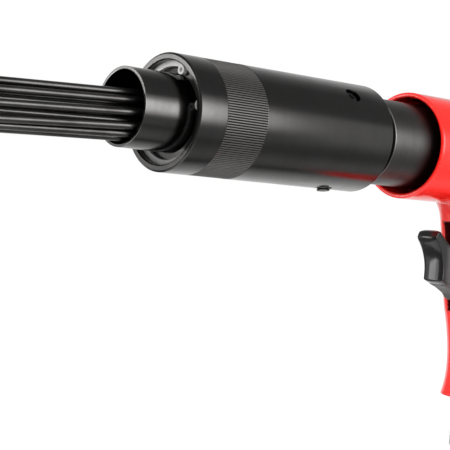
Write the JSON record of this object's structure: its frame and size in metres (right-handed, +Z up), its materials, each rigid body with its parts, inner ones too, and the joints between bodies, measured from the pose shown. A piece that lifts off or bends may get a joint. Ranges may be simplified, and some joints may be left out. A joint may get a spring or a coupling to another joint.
{
  "type": "needle scaler",
  "caption": "Pistol-grip pneumatic needle scaler: free-piston air hammer in a red cast body with trigger, driving loose steel needles out of a black knurled housing and sliding front tube.",
  "frame": {"origin": "centre of the air inlet's mouth, on the inlet thread's axis, under the grip", "axes": "+X forward along the barrel towards the needle tips, +Y to the tool's left, +Z up"},
  "size_m": [0.346, 0.0496, 0.1693],
  "materials": {
    "red_enamel": "gloss",
    "black_steel": "satin",
    "needle_steel": "satin",
    "bright_steel": "satin",
    "spring_steel": "satin",
    "plated_steel": "satin",
    "brass": "satin",
    "rubber": "matte",
    "black_plastic": "gloss"
  },
  "bodies": {
    "tool_body": {"body_casting": "red_enamel", "barrel": "black_steel", "valve_seat": "bright_steel", "valve_cap": "bright_steel", "valve_pins": "bright_steel", "needle_housing": "black_steel", "set_screws": "black_steel", "return_spring": "spring_steel", "front_circlip": "spring_steel", "trigger_pin": "bright_steel", "throttle_bushing": "brass", "stem_seal": "rubber", "throttle_spring": "spring_steel", "inlet_bushing": "plated_steel", "inlet_washer": "rubber", "inlet_screen": "brass"},
    "valve_disc": {"valve_disc": "bright_steel"},
    "piston": {"piston": "bright_steel"},
    "anvil": {"anvil": "bright_steel"},
    "needle_holder": {"needle_holder": "black_steel"},
    "front_tube": {"front_tube": "black_steel"},
    "trigger": {"trigger": "black_plastic"},
    "throttle_stem": {"throttle_stem": "bright_steel"},
    "throttle_ball": {"throttle_ball": "bright_steel"},
    "needle_01": {"needle_01": "needle_steel"},
    "needle_02": {"needle_02": "needle_steel"},
    "needle_03": {"needle_03": "needle_steel"},
    "needle_04": {"needle_04": "needle_steel"},
    "needle_05": {"needle_05": "needle_steel"},
    "needle_06": {"needle_06": "needle_steel"},
    "needle_07": {"needle_07": "needle_steel"},
    "needle_08": {"needle_08": "needle_steel"},
    "needle_09": {"needle_09": "needle_steel"},
    "needle_10": {"needle_10": "needle_steel"},
    "needle_11": {"needle_11": "needle_steel"},
    "needle_12": {"needle_12": "needle_steel"},
    "needle_13": {"needle_13": "needle_steel"},
    "needle_14": {"needle_14": "needle_steel"},
    "needle_15": {"needle_15": "needle_steel"},
    "needle_16": {"needle_16": "needle_steel"},
    "needle_17": {"needle_17": "needle_steel"},
    "needle_18": {"needle_18": "needle_steel"},
    "needle_19": {"needle_19": "needle_steel"}
  },
  "joints": [
    {"name": "trigger_slide", "type": "slide", "parent": "tool_body", "child": "trigger", "axis": [-1, 0, 0], "range_m": [0, 0.005], "stiffness_N_per_m": 800, "springref_m": -0.005, "deforming": ["throttle_spring"]},
    {"name": "throttle_stem_slide", "type": "slide", "parent": "tool_body", "child": "throttle_stem", "axis": [-1, 0, 0], "range_m": [0, 0.005]},
    {"name": "throttle_ball_slide", "type": "slide", "parent": "tool_body", "child": "throttle_ball", "axis": [-1, 0, 0], "range_m": [0, 0.005]},
    {"name": "piston_slide", "type": "slide", "parent": "tool_body", "child": "piston", "axis": [1, 0, 0], "range_m": [0, 0.03]},
    {"name": "valve_disc_slide", "type": "slide", "parent": "tool_body", "child": "valve_disc", "axis": [1, 0, 0], "range_m": [0, 0.001]},
    {"name": "anvil_slide", "type": "slide", "parent": "tool_body", "child": "anvil", "axis": [1, 0, 0], "range_m": [0, 0.005], "stiffness_N_per_m": 3000, "springref_m": -0.01, "deforming": ["return_spring"]},
    {"name": "needle_holder_slide", "type": "slide", "parent": "tool_body", "child": "needle_holder", "axis": [1, 0, 0], "range_m": [0, 0.005]},
    {"name": "front_tube_slide", "type": "slide", "parent": "tool_body", "child": "front_tube", "axis": [-1, 0, 0], "range_m": [0, 0.016], "stiffness_N_per_m": 3000, "springref_m": -0.008, "deforming": ["return_spring"]},
    {"name": "needle_01_slide", "type": "slide", "parent": "needle_holder", "child": "needle_01", "axis": [0.9993, 0.0021, -0.0363], "range_m": [0, 0.003]},
    {"name": "needle_02_slide", "type": "slide", "parent": "needle_holder", "child": "needle_02", "axis": [0.9992, -0.0031, -0.0406], "range_m": [0, 0.003]},
    {"name": "needle_03_slide", "type": "slide", "parent": "needle_holder", "child": "needle_03", "axis": [0.9991, 0.0025, -0.0434], "range_m": [0, 0.003]},
    {"name": "needle_04_slide", "type": "slide", "parent": "needle_holder", "child": "needle_04", "axis": [0.9994, -0.0005, -0.035], "range_m": [0, 0.003]},
    {"name": "needle_05_slide", "type": "slide", "parent": "needle_holder", "child": "needle_05", "axis": [0.999, -0.0017, -0.0446], "range_m": [0, 0.003]},
    {"name": "needle_06_slide", "type": "slide", "parent": "needle_holder", "child": "needle_06", "axis": [0.9992, 0.003, -0.0388], "range_m": [0, 0.003]},
    {"name": "needle_07_slide", "type": "slide", "parent": "needle_holder", "child": "needle_07", "axis": [0.9993, -0.0028, -0.0378], "range_m": [0, 0.003]},
    {"name": "needle_08_slide", "type": "slide", "parent": "needle_holder", "child": "needle_08", "axis": [0.9987, 0.0011, -0.0503], "range_m": [0, 0.003]},
    {"name": "needle_09_slide", "type": "slide", "parent": "needle_holder", "child": "needle_09", "axis": [0.999, 0.0012, -0.0458], "range_m": [0, 0.003]},
    {"name": "needle_10_slide", "type": "slide", "parent": "needle_holder", "child": "needle_10", "axis": [0.9991, -0.0028, -0.0424], "range_m": [0, 0.003]},
    {"name": "needle_11_slide", "type": "slide", "parent": "needle_holder", "child": "needle_11", "axis": [0.9991, 0.003, -0.043], "range_m": [0, 0.003]},
    {"name": "needle_12_slide", "type": "slide", "parent": "needle_holder", "child": "needle_12", "axis": [0.9993, -0.0016, -0.0376], "range_m": [0, 0.003]},
    {"name": "needle_13_slide", "type": "slide", "parent": "needle_holder", "child": "needle_13", "axis": [0.9994, -0.0007, -0.035], "range_m": [0, 0.003]},
    {"name": "needle_14_slide", "type": "slide", "parent": "needle_holder", "child": "needle_14", "axis": [0.9993, 0.0026, -0.0367], "range_m": [0, 0.003]},
    {"name": "needle_15_slide", "type": "slide", "parent": "needle_holder", "child": "needle_15", "axis": [0.9992, -0.0031, -0.0402], "range_m": [0, 0.003]},
    {"name": "needle_16_slide", "type": "slide", "parent": "needle_holder", "child": "needle_16", "axis": [0.9992, 0.002, -0.0402], "range_m": [0, 0.003]},
    {"name": "needle_17_slide", "type": "slide", "parent": "needle_holder", "child": "needle_17", "axis": [0.9993, 0.0001, -0.0376], "range_m": [0, 0.003]},
    {"name": "needle_18_slide", "type": "slide", "parent": "needle_holder", "child": "needle_18", "axis": [0.999, -0.0022, -0.0447], "range_m": [0, 0.003]},
    {"name": "needle_19_slide", "type": "slide", "parent": "needle_holder", "child": "needle_19", "axis": [0.9984, 0.0031, -0.0557], "range_m": [0, 0.003]}
  ],
  "couplings": [
    {"joint": "throttle_stem_slide", "follows": "trigger_slide", "ratio": 1},
    {"joint": "throttle_ball_slide", "follows": "trigger_slide", "ratio": 1},
    {"joint": "needle_holder_slide", "follows": "anvil_slide", "ratio": 1}
  ]
}
